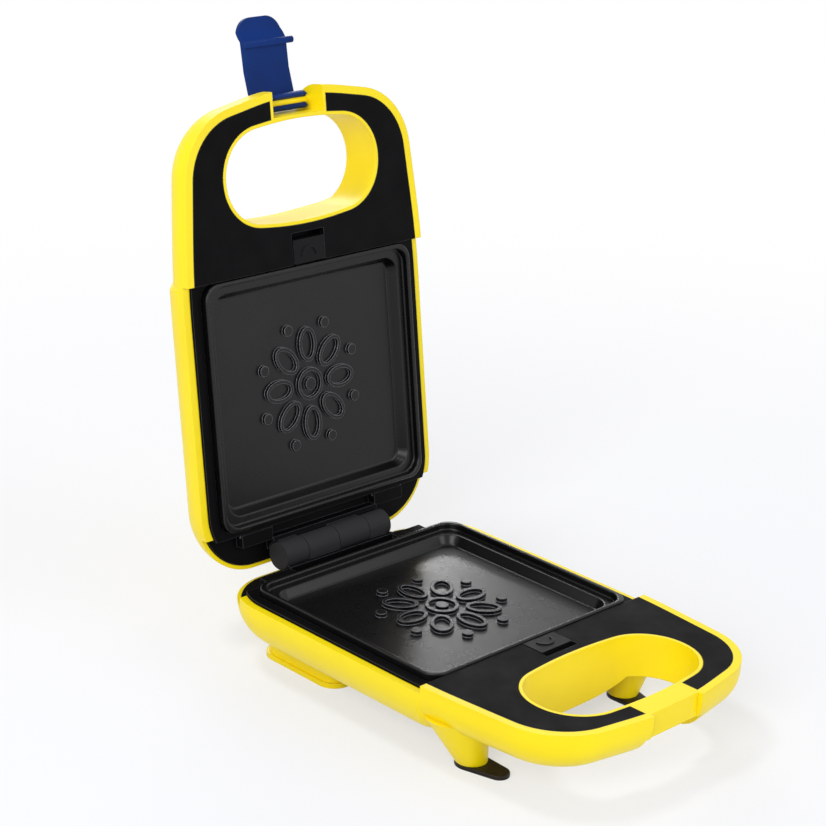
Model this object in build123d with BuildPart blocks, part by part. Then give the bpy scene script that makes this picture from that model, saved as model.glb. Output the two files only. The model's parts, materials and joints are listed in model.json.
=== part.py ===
from build123d import *
import math
import os
from dataclasses import dataclass

os.makedirs("parts", exist_ok=True)

# A hinged toasting appliance for sandwiches: a base and a lid, each a moulded casing with a black
# bezel and a removable cooking plate. Millimetres, +Z up, the origin on the floor under the
# middle of the lower plate, the handle towards -Y and the hinge towards +Y.
#
# Each half is drawn in its own frame: x across, y from the hinge axis towards the handle, z the
# depth below the plane in which the halves meet. The two frames share the hinge axis.

# Whole appliance
parting_height = 42.0
lid_open_angle = 99.0
hinge_setback = 77.0
overrun = 6.0
touch_gap = 0.1
moving_gap = 0.3
level_tolerance = 0.01

# Casing plan
casing_half_width = 74.6
nose_reach = 143.0
base_tail_reach = 80.0
lid_tail_reach = 82.0
waist_reach = 62.0
handle_taper_angle = 5.5
nose_slope_angle = 10.2
nose_radius = 157.0
nose_corner_radius = 34.0
waist_radius = 400.0
tail_corner_radius = 32.0

# Casing section
base_depth = 30.0
base_section_radius = 23.0
lid_depth = 29.0
lid_section_radius = 22.0
handle_depth = 22.0
handle_section_radius = 15.8
deep_body_reach = 98.0
deep_front_radius = 90.0
tail_wall = 2.0
tail_skirt_bottom = 11.0
casing_wall = 3.8
casing_floor = 2.6
handle_rim_drop = 1.2
side_rim_drop = 5.0
tail_rim_drop = 9.0
tail_step_reach = 61.0

# Finger hole
grip_reach = 104.5
grip_half_length = 47.0
grip_half_depth = 24.0
grip_corner_radius = 22.0
grip_edge_radius = 200.0
grip_edge_angle = 6.5
grip_wall = 1.6

# Cooking plates
plate_width = 130.0
plate_length = 119.0
plate_corner_radius = 8.0
plate_wall = 1.6
plate_rim_drop = 0.25
plate_rim_width = 2.2
plate_step_depth = 3.6
plate_ledge_inset = 6.3
plate_well_depth = 4.6
plate_well_run = 2.6
plate_edge_round = 0.8
plate_floor_round = 1.5
plate_gap = 0.5
tab_inner = 33.0
tab_outer = 53.0
tab_length = 4.6
tab_thickness = 1.0
tab_support_margin = 0.6
lug_width = 12.0
lug_length = 2.8
lug_thickness = 1.2

# Relief on the plates
relief_height = 1.8
relief_line = 1.7
petal_count = 8
petal_orbit = 19.5
petal_length = 17.0
petal_width = 11.0
eye_radius = 8.0
dot_radius = 3.1
bud_radius = 2.6
bud_orbit = 30.5

# Bezels
bezel_gap = 0.2
tail_bar_lap = 0.6
deck_thickness = 2.6
collar_thickness = 2.7
core_step = 4.0
core_thickness = 3.1
skirt_step = 0.8
tail_deck_drop = 8.2
deck_web = 2.5
cleat_length = 4.8
cleat_lip = 1.2
cleat_lip_thickness = 0.65
peg_radius = 1.5
peg_length = 5.0
peg_boss_radius = 3.2
peg_reach = 12.8
peg_side_gap = 6.4
peg_nose_share = 0.8

# Hinge
barrel_radius = 6.8
knuckle_edges = (-34.0, -20.0, 0.0, 20.0, 34.0)
knuckle_seam = 0.4
knuckle_foot_depth = 8.6
knuckle_foot_back = 2.5
knuckle_foot_inset = 3.0
barrel_end_wall = 1.6
cradle_near_reach = 2.2
cradle_far_reach = 9.0
cradle_top = 2.8
cradle_room = 0.5
pin_radius = 2.0
pin_clearance = 0.05
pin_end_gap = 0.2
pin_chamfer = 0.4

# Latch slot, landing and bar
latch_slot_half_width = 15.6
latch_slot_wall = 1.6
latch_slot_reach = 130.2
inlay_end_reach = 124.0
landing_reach = 140.0
landing_half_width = 16.0
landing_drop = 12.8
pocket_half_width = 18.5
pocket_wall = 1.8
bar_reach = 135.3
bar_depth = 13.0
bar_radius = 2.0

# Latch, drawn as it hangs when closed: forward of the bar and down from it
latch_throw_angle = 98.0
latch_bore_clearance = 0.05
latch_ring_radius = 4.2
latch_ring_mouth_angle = 76.0
latch_inner = 5.2
latch_thickness = 2.0
latch_top = 2.4
latch_bend_drop = 16.0
latch_bulge = 1.0
latch_hook_drop = 27.0
latch_hook_height = 3.2
latch_hook_reach = 1.8
latch_hook_lead = 1.2
latch_flare_drop = 35.0
latch_flare = 2.4
latch_tip_drop = 41.2
latch_leg_width = 26.6
latch_tongue_width = 28.0
latch_tongue_round = 9.0
latch_corner_round = 1.0
latch_nub = 3.4
latch_nub_radius = 1.6

# Release buttons
button_half_width = 9.8
button_length = 11.5
button_travel = 3.0
button_pocket_gap = 0.4
button_drop = 0.9
button_flange = 7.0
button_flange_thickness = 4.2
button_skirt_length = 6.0
button_floor_wall = 1.6
button_mark_radius = 5.0
button_mark_width = 1.2
button_mark_height = 0.5

# Release springs
spring_x = 14.8
spring_mean_radius = 1.05
spring_wire_radius = 0.2
spring_turns = 7
spring_seat = 0.2
spring_bore_radius = 1.5
spring_bore_depth = 4.6

# Heaters
heater_tube_radius = 3.2
heater_half_width = 40.0
heater_half_length = 43.0
heater_bend_radius = 13.0
heater_neck = 11.0
heater_stub = 12.25
terminal_radius = 1.3
terminal_length = 7.0
clip_length = 7.0
clip_width = 11.0

# Reflector trays
tray_sheet = 0.8
tray_half_width = 58.6
tray_half_length = 54.0
tray_corner_radius = 6.8
tray_flange_half_width = 48.0
tray_flange_length = 7.4
tray_neck_room = 0.5

# Screws
case_screw_x = 62.4
case_screw_y = 40.0
case_screw_radius = 1.3
case_screw_head_radius = 2.4
case_screw_head_height = 1.6
case_screw_length = 13.0
case_boss_radius = 3.2
tray_screw_x = 34.0
tray_screw_radius = 1.5
tray_screw_head_radius = 2.8
tray_screw_head_height = 1.8
tray_screw_length = 3.2

# Controls and wiring parts inside
thermostat_radius = 8.0
thermostat_height = 6.4
thermostat_cap_radius = 6.2
thermostat_cap_height = 1.4
thermostat_reach = 14.0
thermostat_blade_x = 3.1
fuse_radius = 2.0
fuse_length = 12.0
fuse_reach = 22.0
fuse_strap_width = 5.0
fuse_strap_thickness = 0.8
terminal_block_length = 34.0
terminal_block_width = 14.0
terminal_block_height = 9.0
terminal_block_reach = 59.0
terminal_block_x = -26.0
terminal_hole_radius = 1.6
terminal_hole_depth = 4.5
terminal_ways = 3

# Indicator lenses in the lid
lamp_spacing = 18.0
lamp_reach = 40.0
lamp_radius = 3.5
lamp_proud = 0.6
lamp_flange = 1.2
lamp_flange_thickness = 1.0
lamp_round = 0.5

# Cord gland in the rear wall of the base
gland_x = 40.0
gland_drop = 18.0
gland_radius = 5.6
gland_bore_radius = 3.4
gland_flange_radius = 7.4
gland_flange_thickness = 1.6
gland_length = 9.6

# Feet
pad_thickness = 2.0
pad_far_x = 49.0
pad_far_reach = 86.0
pad_far_radius = 5.0
pad_edge_round = 0.6
post_low_x = 50.8
post_low_reach = 71.0
post_low_radius = 7.4
post_high_x = 58.5
post_high_reach = 67.6
post_high_radius = 14.8
post_rise = 24.0
pad_screw_radius = 1.6
pad_screw_head_radius = 2.9
pad_screw_head_height = 0.9
pad_screw_sink = 0.2
pad_screw_length = 9.0

# Cord wrap under the rear of the base
wrap_half_width = 53.0
wrap_front_y = 16.0
wrap_rear_y = 68.0
wrap_height = 7.0
wrap_lip_height = 2.4
wrap_lip_step = 1.4
wrap_corner_radius = 9.0
wrap_neck_radius = 4.5
wrap_neck_inset = 9.0
wrap_wall = 2.4
wrap_edge_round = 1.2
wrap_screw_x = 34.0
wrap_screw_radius = 1.6
wrap_screw_head_radius = 3.0
wrap_screw_head_height = 2.0
wrap_screw_length = 13.6
wrap_boss_radius = 4.6


# Levels in a half, measured from the parting plane
deck_bottom = handle_rim_drop + deck_thickness
collar_bottom = deck_bottom + collar_thickness
core_bottom = collar_bottom + core_thickness
ledge_level = plate_rim_drop + plate_step_depth
shelf_level = ledge_level + plate_wall
plate_floor_level = ledge_level + plate_well_depth
plate_bottom = plate_floor_level + plate_wall
heater_level = plate_bottom + heater_tube_radius + touch_gap
tray_level = heater_level + heater_tube_radius + touch_gap
tray_bottom = tray_level + tray_sheet

# Ends of the cord gland, whose flange lies on the rear wall
gland_outer_reach = base_tail_reach + gland_flange_thickness
gland_inner_reach = gland_outer_reach - gland_length

# Places along a half, measured from the hinge axis
deck_edge = hinge_setback + plate_length / 2 + plate_gap
tail_web = hinge_setback - plate_length / 2 - plate_gap - deck_web
deep_end = hinge_setback + deep_body_reach
slot_back = hinge_setback + latch_slot_reach
nose = hinge_setback + nose_reach

# The underside of a plate's sloping wall, worked out from its slope
well_slope = math.hypot(plate_well_run, plate_well_depth)
well_angle = math.degrees(math.atan2(plate_well_run, plate_well_depth))
well_skin_inset = plate_ledge_inset - plate_wall * plate_well_depth / well_slope
well_skin_level = ledge_level + plate_wall * plate_well_run / well_slope
under_ledge_inset = well_skin_inset + (shelf_level - well_skin_level) * plate_well_run / plate_well_depth
shelf_inset = under_ledge_inset - moving_gap
bezel_inset = casing_wall + bezel_gap
inlay_end = latch_slot_half_width + latch_slot_wall


@dataclass(frozen=True)
class Half:
    """One half of the appliance: its name, frame, depth, section and the place of its rear end."""

    name: str
    plane: Plane
    depth: float
    section_radius: float
    tail: float

    @property
    def axis(self) -> Axis:
        return Axis(self.plane.origin, self.plane.z_dir)

    def level(self, depth):
        """The half's frame, lowered to a depth."""
        return self.plane.offset(depth)


open_angle = math.radians(lid_open_angle)
hinge_point = (0, hinge_setback, parting_height)
base = Half(
    "lower",
    Plane(origin=hinge_point, x_dir=(1, 0, 0), z_dir=(0, 0, -1)),
    base_depth,
    base_section_radius,
    hinge_setback - base_tail_reach,
)
lid = Half(
    "upper",
    Plane(origin=hinge_point, x_dir=(-1, 0, 0), z_dir=(0, math.sin(open_angle), math.cos(open_angle))),
    lid_depth,
    lid_section_radius,
    hinge_setback - lid_tail_reach,
)


def save(builder, name):
    """Label a finished piece and write it."""
    builder.part.label = name
    export_step(builder.part, f"parts/{name}.step")


def depth_of(half, edge):
    """Depth in a half of an edge that runs level, or None where it slopes."""
    start, middle, end = (half.plane.to_local_coords(edge @ share).Z for share in (0, 0.5, 1))
    level = max(abs(start - middle), abs(end - middle)) < level_tolerance
    return middle if level else None


def edges_at(builder, half, depth):
    """The edges that lie level at a depth of a half."""
    return builder.edges().filter_by(
        lambda edge: depth_of(half, edge) is not None and abs(depth_of(half, edge) - depth) < level_tolerance
    )


def casing_line(half):
    """Outline of a casing half, drawn into the line that is open."""
    slope = math.tan(math.radians(nose_slope_angle))
    taper = math.tan(math.radians(handle_taper_angle))
    tip = nose + nose_radius * (1 / math.cos(math.radians(nose_slope_angle)) - 1)
    waist = hinge_setback + waist_reach
    corner_x = (casing_half_width - (tip - waist) * taper) / (1 - slope * taper)
    corner_y = tip - corner_x * slope
    right = [(casing_half_width, half.tail), (casing_half_width, waist), (corner_x, corner_y)]
    left = [(-x, y) for x, y in reversed(right)]
    radii = [tail_corner_radius, waist_radius, nose_corner_radius]
    return FilletPolyline(*right, (0, tip), *left, radius=[*radii, nose_radius, *reversed(radii)], close=True)


def casing_face(half, depth, inset, back=None, front=None):
    """Plan of a casing half, moved inward, and cut to a stretch of its length if that is given."""
    with BuildSketch(half.level(depth)) as plan:
        with BuildLine():
            casing_line(half)
        make_face()
        if inset:
            offset(amount=-inset)
        if front is not None:
            with Locations((0, (back + front) / 2)):
                Rectangle(casing_half_width * 2, front - back, mode=Mode.INTERSECT)
    return plan.sketch


def deep_face(half, inset):
    """Plan of the deep part of a casing: its outline up to a round front behind the finger hole."""
    radius = deep_front_radius - inset
    middle = deep_end - deep_front_radius
    with BuildSketch() as front:
        with Locations((0, middle)):
            Circle(radius)
            Rectangle(2 * radius, middle - half.tail, align=(Align.CENTER, Align.MAX))
    with BuildSketch(half.plane) as plan:
        with BuildLine():
            casing_line(half)
        make_face()
        if inset:
            offset(amount=-inset)
        add(front.sketch, mode=Mode.INTERSECT)
    return plan.sketch


def grip_face(plane, grow):
    """Outline of the finger hole, moved outward."""
    tip = grip_half_depth + grip_edge_radius * (1 / math.cos(math.radians(grip_edge_angle)) - 1)
    side = tip - grip_half_length * math.tan(math.radians(grip_edge_angle))
    middle = hinge_setback + grip_reach
    points = [(grip_half_length, -side), (grip_half_length, side), (0, tip)]
    points += [(-x, -y) for x, y in points]
    radii = [grip_corner_radius, grip_corner_radius, grip_edge_radius] * 2
    with BuildSketch(plane) as plan:
        with BuildLine():
            FilletPolyline(*[(x, middle + y) for x, y in points], radius=radii, close=True)
        make_face()
        if grow:
            offset(amount=grow)
    return plan.sketch


def plate_face(plane, inset):
    """Outline of a cooking plate, moved inward, with the same corner radius at each level."""
    with BuildSketch(plane) as plan:
        with Locations((0, hinge_setback)):
            RectangleRounded(plate_width - 2 * inset, plate_length - 2 * inset, plate_corner_radius)
    return plan.sketch


def block(half, across, along, depths, mode=Mode.ADD):
    """Box in a half's frame, from three pairs of limits."""
    with BuildSketch(half.level(depths[0])) as plan:
        with Locations((sum(across) / 2, sum(along) / 2)):
            Rectangle(across[1] - across[0], along[1] - along[0])
    extrude(to_extrude=plan.sketch, amount=depths[1] - depths[0], mode=mode)


def post(half, places, radius, depths, mode=Mode.ADD):
    """Round posts or holes along the depth of a half."""
    with BuildSketch(half.level(depths[0])) as plan:
        with Locations(*places):
            Circle(radius)
    extrude(to_extrude=plan.sketch, amount=depths[1] - depths[0], mode=mode)


def case_screw_places():
    """Places of the four screws that hold a casing to its bezel."""
    return [
        (x, hinge_setback + y)
        for x in (-case_screw_x, case_screw_x)
        for y in (-case_screw_y, case_screw_y)
    ]


def tray_screw_places():
    """Places of the four screws that hold a reflector tray to its bezel."""
    middle = tray_half_length + tray_flange_length / 2
    return [(x, hinge_setback + y) for x in (-tray_screw_x, tray_screw_x) for y in (-middle, middle)]


def peg_places():
    """Places of the pegs under the handle deck: two beside the plate and two at the nose."""
    near = deck_edge + peg_reach
    side = grip_half_length + grip_wall + peg_side_gap
    far = hinge_setback + grip_reach + grip_half_depth
    nose_x = grip_half_length * peg_nose_share
    return [(-side, near), (side, near), (-nose_x, far), (nose_x, far)]


def rounded_body(half, inset, floor):
    """A casing's body: the whole outline to the handle's depth and the plate's part to the full depth."""
    with BuildPart() as handle:
        extrude(to_extrude=casing_face(half, 0, inset), amount=handle_depth - floor)
        fillet(handle.faces().sort_by(half.axis)[-1].edges(), handle_section_radius - inset)
    with BuildPart() as body:
        extrude(to_extrude=deep_face(half, inset), amount=half.depth - floor)
        fillet(body.faces().sort_by(half.axis)[-1].edges(), half.section_radius - inset)
        add(handle.part)
    return body.part


def make_casing(half):
    """Moulded outer shell of one half, hollow, with the finger hole's wall and its bosses."""
    with BuildPart() as cavity:
        add(rounded_body(half, casing_wall, casing_floor))
        extrude(to_extrude=grip_face(half.level(0), grip_wall), amount=half.depth, mode=Mode.SUBTRACT)
        surround = inlay_end if half is lid else pocket_half_width + pocket_wall
        surround_back = slot_back - latch_slot_wall
        block(half, (-surround, surround), (surround_back, nose), (0, half.depth), Mode.SUBTRACT)
        post(half, case_screw_places(), case_boss_radius, (core_bottom, half.depth), Mode.SUBTRACT)
        post(half, peg_places(), peg_boss_radius, (deck_bottom, half.depth), Mode.SUBTRACT)
    with BuildPart() as recess:
        extrude(to_extrude=casing_face(half, 0, casing_wall), amount=deck_bottom + touch_gap)
        extrude(to_extrude=grip_face(half.level(0), grip_wall), amount=half.depth, mode=Mode.SUBTRACT)
        inlay_back = hinge_setback + inlay_end_reach
        block(half, (-inlay_end, inlay_end), (inlay_back, nose), (0, half.depth), Mode.SUBTRACT)
    with BuildPart() as casing:
        add(rounded_body(half, 0, 0))
        if half is base:
            add_front_posts()
        add(cavity.part, mode=Mode.SUBTRACT)
        add(recess.part, mode=Mode.SUBTRACT)
        wide = casing_half_width + overrun
        tail = half.tail - overrun
        tail_step = hinge_setback - tail_step_reach
        block(half, (-wide, wide), (tail, nose + overrun), (-overrun, handle_rim_drop), Mode.SUBTRACT)
        block(half, (-wide, wide), (tail, deck_edge), (-overrun, side_rim_drop), Mode.SUBTRACT)
        block(half, (-wide, wide), (tail, tail_step), (-overrun, tail_rim_drop), Mode.SUBTRACT)
        rabbet = casing_face(half, 0, tail_wall, half.tail, tail_step)
        extrude(to_extrude=rabbet, amount=tail_skirt_bottom + touch_gap, mode=Mode.SUBTRACT)
        extrude(
            to_extrude=grip_face(half.level(-overrun), 0),
            amount=half.depth + 2 * overrun,
            mode=Mode.SUBTRACT,
        )
        post(
            half,
            case_screw_places(),
            case_screw_radius,
            (core_bottom - overrun, shelf_level + case_screw_length + touch_gap),
            Mode.SUBTRACT,
        )
        post(
            half,
            peg_places(),
            peg_radius + touch_gap,
            (deck_bottom - overrun, deck_bottom + peg_length + touch_gap),
            Mode.SUBTRACT,
        )
        if half is base:
            cut_landing()
            cut_gland_hole()
            cut_wrap_holes()
            cut_pad_holes()
        else:
            cut_latch_slot()
            cut_lamp_holes()
    save(casing, f"{half.name}_casing")


def add_front_posts():
    """Two leaning tapered posts under the front of the base, on its foot pads."""
    for side in (-1, 1):
        with BuildSketch(Plane.XY.offset(pad_thickness)) as low:
            with Locations((side * post_low_x, -post_low_reach)):
                Circle(post_low_radius)
        with BuildSketch(Plane.XY.offset(pad_thickness + post_rise)) as high:
            with Locations((side * post_high_x, -post_high_reach)):
                Circle(post_high_radius)
        loft(sections=[low.sketch.face(), high.sketch.face()])


def cut_landing():
    """Set-back face that the latch hooks under, and the way below it back into the finger hole."""
    block(
        base,
        (-landing_half_width, landing_half_width),
        (hinge_setback + landing_reach, nose + overrun),
        (-overrun, landing_drop + overrun),
        Mode.SUBTRACT,
    )
    block(
        base,
        (-pocket_half_width, pocket_half_width),
        (hinge_setback + grip_reach, nose + overrun),
        (landing_drop, handle_depth + overrun),
        Mode.SUBTRACT,
    )


def cut_gland_hole():
    """Round hole for the cord gland in the rear wall."""
    plane = Plane(origin=(gland_x, gland_inner_reach, parting_height - gland_drop), z_dir=(0, 1, 0))
    with BuildSketch(plane) as hole:
        Circle(gland_radius)
    reach = gland_outer_reach - gland_inner_reach + overrun
    extrude(to_extrude=hole.sketch, amount=reach, mode=Mode.SUBTRACT)


def cut_wrap_holes():
    """Holes in the floor of the base for the cord wrap's screws."""
    post(
        base,
        wrap_screw_places(),
        wrap_screw_radius,
        (base_depth - casing_floor - overrun, base_depth + overrun),
        Mode.SUBTRACT,
    )


def cut_pad_holes():
    """Blind holes up into the front posts for the foot pads' screws."""
    with BuildSketch(Plane.XY) as holes:
        with Locations(*pad_screw_places()):
            Circle(pad_screw_radius)
    extrude(to_extrude=holes.sketch, amount=pad_screw_sink + pad_screw_length, mode=Mode.SUBTRACT)


def wrap_screw_places():
    """Places, in the base's frame, of the two screws that hold the cord wrap."""
    middle = hinge_setback - (wrap_front_y + wrap_rear_y) / 2
    return [(-wrap_screw_x, middle), (wrap_screw_x, middle)]


def cut_latch_slot():
    """Slot at the nose of the lid, open to the front and right through, with the bar across it."""
    block(
        lid,
        (-latch_slot_half_width, latch_slot_half_width),
        (slot_back, nose + overrun),
        (-overrun, handle_depth + overrun),
        Mode.SUBTRACT,
    )
    half_bar = latch_slot_half_width + latch_slot_wall / 2
    with BuildSketch(bar_plane(-half_bar)) as section:
        Circle(bar_radius)
    extrude(to_extrude=section.sketch, amount=2 * half_bar)


def bar_plane(shift=0):
    """Plane square to the latch bar: x forward of the bar and y up from the parting plane."""
    centre = lid.plane.from_local_coords((0, hinge_setback + bar_reach, bar_depth))
    forward = lid.plane.y_dir
    across = forward.cross(lid.plane.z_dir)
    return Plane(origin=centre, x_dir=forward, z_dir=across).offset(shift)


def cut_lamp_holes():
    """Two round holes for the indicator lenses."""
    depths = (lid_depth - casing_floor - overrun, lid_depth + overrun)
    post(lid, lamp_places(), lamp_radius, depths, Mode.SUBTRACT)


def lamp_places():
    """Places of the two lenses on the outer face of the lid."""
    return [(x, hinge_setback + lamp_reach) for x in (-lamp_spacing / 2, lamp_spacing / 2)]


def make_bezel(half):
    """Black moulding inside a casing: handle deck, plate surround, shelf, button guide and knuckles."""
    tail = half.tail
    web_front = deck_edge + deck_web
    tail_step = hinge_setback - tail_step_reach
    core_inset = bezel_inset + core_step
    with BuildPart() as bezel:
        collar = casing_face(half, deck_bottom, bezel_inset, tail, web_front)
        extrude(to_extrude=collar, amount=collar_thickness)
        core = casing_face(half, collar_bottom, core_inset, tail, web_front)
        extrude(to_extrude=core, amount=core_thickness)
        skirt = casing_face(half, collar_bottom, bezel_inset + skirt_step, tail, tail_step)
        extrude(to_extrude=skirt, amount=core_thickness)
        across = (-casing_half_width, casing_half_width)
        block(half, across, (tail, tail_web), (-overrun, tail_deck_drop), Mode.SUBTRACT)
        bar = casing_face(half, tail_deck_drop, tail_wall + bezel_gap, tail, tail_web + tail_bar_lap)
        extrude(to_extrude=bar, amount=tail_skirt_bottom - tail_deck_drop)
        deck = casing_face(half, handle_rim_drop, bezel_inset, deck_edge, nose)
        extrude(to_extrude=deck, amount=deck_thickness)
        extrude(
            to_extrude=grip_face(half.level(0), grip_wall + bezel_gap),
            amount=half.depth,
            mode=Mode.SUBTRACT,
        )
        end = inlay_end + bezel_gap
        inlay_back = hinge_setback + inlay_end_reach
        block(half, (-end, end), (inlay_back, nose), (0, half.depth), Mode.SUBTRACT)
        add_button_guide(half)
        cut_plate_opening(half)
        add_cleats(half)
        add_knuckles(half)
        post(half, peg_places(), peg_radius, (deck_bottom, deck_bottom + peg_length))
        places = case_screw_places()
        depths = (shelf_level, core_bottom + overrun)
        post(half, places, case_screw_radius + touch_gap, depths, Mode.SUBTRACT)
        depths = (shelf_level, shelf_level + case_screw_head_height)
        post(half, places, case_screw_head_radius + touch_gap, depths, Mode.SUBTRACT)
        depths = (tray_screw_top(), core_bottom + overrun)
        post(half, tray_screw_places(), tray_screw_radius, depths, Mode.SUBTRACT)
    save(bezel, f"{half.name}_bezel")


def tray_screw_top():
    """Depth of the tip of a tray screw, whose head lies under the tray's flange."""
    return core_bottom + tray_sheet - tray_screw_length


def cut_plate_opening(half):
    """Opening that the plate lies in, with the shelf under its ledge."""
    extrude(
        to_extrude=plate_face(half.level(-overrun), -plate_gap),
        amount=shelf_level + overrun,
        mode=Mode.SUBTRACT,
    )
    extrude(
        to_extrude=plate_face(half.level(0), shelf_inset),
        amount=half.depth,
        mode=Mode.SUBTRACT,
    )


def add_cleats(half):
    """Two supports for the plate's rear tabs, with cleats whose lips hold the tabs down."""
    tab_end = hinge_setback - plate_length / 2 - tab_length
    top = shelf_level - tab_thickness - bezel_gap - cleat_lip_thickness
    for side in (-1, 1):
        back = tab_end - touch_gap - cleat_length
        inner = side * (tab_inner + tab_support_margin)
        outer = side * (tab_outer - tab_support_margin)
        across = sorted((inner, outer))
        block(half, across, (back, tail_web), (shelf_level, tail_deck_drop))
        block(half, across, (back, tab_end - touch_gap), (top, shelf_level))
        lip_front = tab_end + cleat_lip
        block(half, across, (back, lip_front), (top, top + cleat_lip_thickness))
        low, high = sorted((side * (tab_inner - moving_gap), side * (tab_outer + moving_gap)))
        room = (tab_end - touch_gap, deck_edge)
        depths = (shelf_level - tab_thickness - bezel_gap, shelf_level)
        block(half, (low, high), room, depths, Mode.SUBTRACT)


def add_knuckles(half):
    """This half's knuckles, bored for the pin, and the cradles under the other half's."""
    spans = [(knuckle_edges[1], knuckle_edges[2]), (knuckle_edges[3], knuckle_edges[4])]
    with BuildPart() as cradle:
        across = (knuckle_edges[0], knuckle_edges[-1])
        block(half, across, (cradle_near_reach, cradle_far_reach), (cradle_top, tail_deck_drop))
        round_bar(half, across, barrel_radius + cradle_room, Mode.SUBTRACT)
    add(cradle.part)
    for low, high in spans:
        low_cut = knuckle_seam / 2 if low > knuckle_edges[0] else 0
        high_cut = knuckle_seam / 2 if high < knuckle_edges[-1] else 0
        across = (low + low_cut, high - high_cut)
        foot_high = high - (0 if high_cut else knuckle_foot_inset)
        along = (-knuckle_foot_back, barrel_radius)
        block(half, (low + low_cut, foot_high - high_cut), along, (0, knuckle_foot_depth))
        round_bar(half, across, barrel_radius, Mode.ADD)
    bore = pin_radius + (pin_clearance if half is lid else 0)
    blind_end = knuckle_edges[-1] - barrel_end_wall
    ends = (knuckle_edges[0] - overrun, blind_end if half is lid else knuckle_edges[-1] + overrun)
    round_bar(half, ends, bore, Mode.SUBTRACT)


def round_bar(half, across, radius, mode):
    """Round bar or bore along the hinge axis, between two places across a half."""
    origin = half.plane.from_local_coords((across[0], 0, 0))
    with BuildSketch(Plane(origin=origin, z_dir=half.plane.x_dir)) as section:
        Circle(radius)
    extrude(to_extrude=section.sketch, amount=across[1] - across[0], mode=mode)


def button_levels():
    """Depths of a button's flange and of the guide's floor under it."""
    flange_top = deck_bottom + moving_gap
    flange_bottom = flange_top + button_flange_thickness
    return flange_top, flange_bottom, flange_bottom + moving_gap


def button_places():
    """Front and back of a button at rest, and the back of its pocket, along a half."""
    near = deck_edge + moving_gap
    far = near + button_length
    return near, far, far + button_travel + button_pocket_gap


def add_button_guide(half):
    """Pocket in the deck for the release button, with the guide box under it that holds the springs."""
    _, flange_bottom, floor_top = button_levels()
    near, far, pocket_end = button_places()
    half_pocket = button_half_width + button_pocket_gap
    half_inside = button_half_width + button_flange + moving_gap
    half_outside = half_inside + button_floor_wall
    guide_near = far - button_skirt_length - moving_gap
    guide_far = pocket_end
    floor_bottom = floor_top + button_floor_wall
    outside = (guide_near - button_floor_wall, guide_far + button_floor_wall)
    block(half, (-half_outside, half_outside), outside, (deck_bottom, floor_bottom))
    inside = (guide_near, guide_far)
    block(half, (-half_inside, half_inside), inside, (deck_bottom, floor_top), Mode.SUBTRACT)
    block(half, (-half_pocket, half_pocket), (near - overrun, pocket_end), (0, deck_bottom), Mode.SUBTRACT)
    under_lip = (deck_edge - overrun, guide_near)
    block(half, (-half_pocket, half_pocket), under_lip, (0, shelf_level), Mode.SUBTRACT)


def spring_level():
    """Depth of the release springs' axes, in the middle of the button's flange."""
    flange_top, flange_bottom, _ = button_levels()
    return (flange_top + flange_bottom) / 2


def make_button(half):
    """Sliding release button: a thumb plate over the plate's lug, on a flanged skirt."""
    flange_top, flange_bottom, _ = button_levels()
    near, far, _ = button_places()
    with BuildPart() as button:
        across = (-button_half_width, button_half_width)
        lug_top = shelf_level - lug_thickness
        block(half, across, (near, far), (button_drop, lug_top - moving_gap))
        skirt_near = far - button_skirt_length
        block(half, across, (skirt_near, far), (button_drop, flange_bottom))
        half_flange = button_half_width + button_flange
        block(half, (-half_flange, half_flange), (skirt_near, far), (flange_top, flange_bottom))
        with BuildSketch(half.level(button_drop)) as mark:
            with Locations((0, (near + far - button_mark_radius) / 2)):
                Circle(button_mark_radius)
                Circle(button_mark_radius - button_mark_width, mode=Mode.SUBTRACT)
                wide = button_mark_radius * 2
                Rectangle(wide, button_mark_radius, align=(Align.CENTER, Align.MAX), mode=Mode.SUBTRACT)
        extrude(to_extrude=mark.sketch, amount=-button_mark_height)
        for x in (-spring_x, spring_x):
            seat = half.plane.from_local_coords((x, far, spring_level()))
            with BuildSketch(Plane(origin=seat, z_dir=half.plane.y_dir)) as bore:
                Circle(spring_bore_radius)
            extrude(to_extrude=bore.sketch, amount=-spring_bore_depth, mode=Mode.SUBTRACT)
    save(button, f"{half.name}_release_button")


def make_springs(half):
    """Two small compression springs behind a release button, each one unbroken helix."""
    _, far, pocket_end = button_places()
    start = far - spring_bore_depth + spring_seat + spring_wire_radius
    length = pocket_end - spring_seat - spring_wire_radius - start
    pitch = length / spring_turns
    with BuildPart() as springs:
        for x in (-spring_x, spring_x):
            origin = half.plane.from_local_coords((x, start, spring_level()))
            seat = Plane(origin=origin, z_dir=half.plane.y_dir, x_dir=half.plane.x_dir)
            with BuildLine(seat) as coil:
                Helix(pitch=pitch, height=length, radius=spring_mean_radius, direction=seat.z_dir)
            with BuildSketch(Plane(origin=coil.line @ 0, z_dir=coil.line % 0)) as wire:
                Circle(spring_wire_radius)
            sweep(sections=wire.sketch, path=coil.line, is_frenet=True)
    least_gap = pitch * math.cos(math.atan2(pitch, math.tau * spring_mean_radius)) - spring_wire_radius * 2
    print(f"{half.name} release springs: least gap {least_gap:.2f}, volume {springs.part.volume:.2f}")
    save(springs, f"{half.name}_release_springs")


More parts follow.
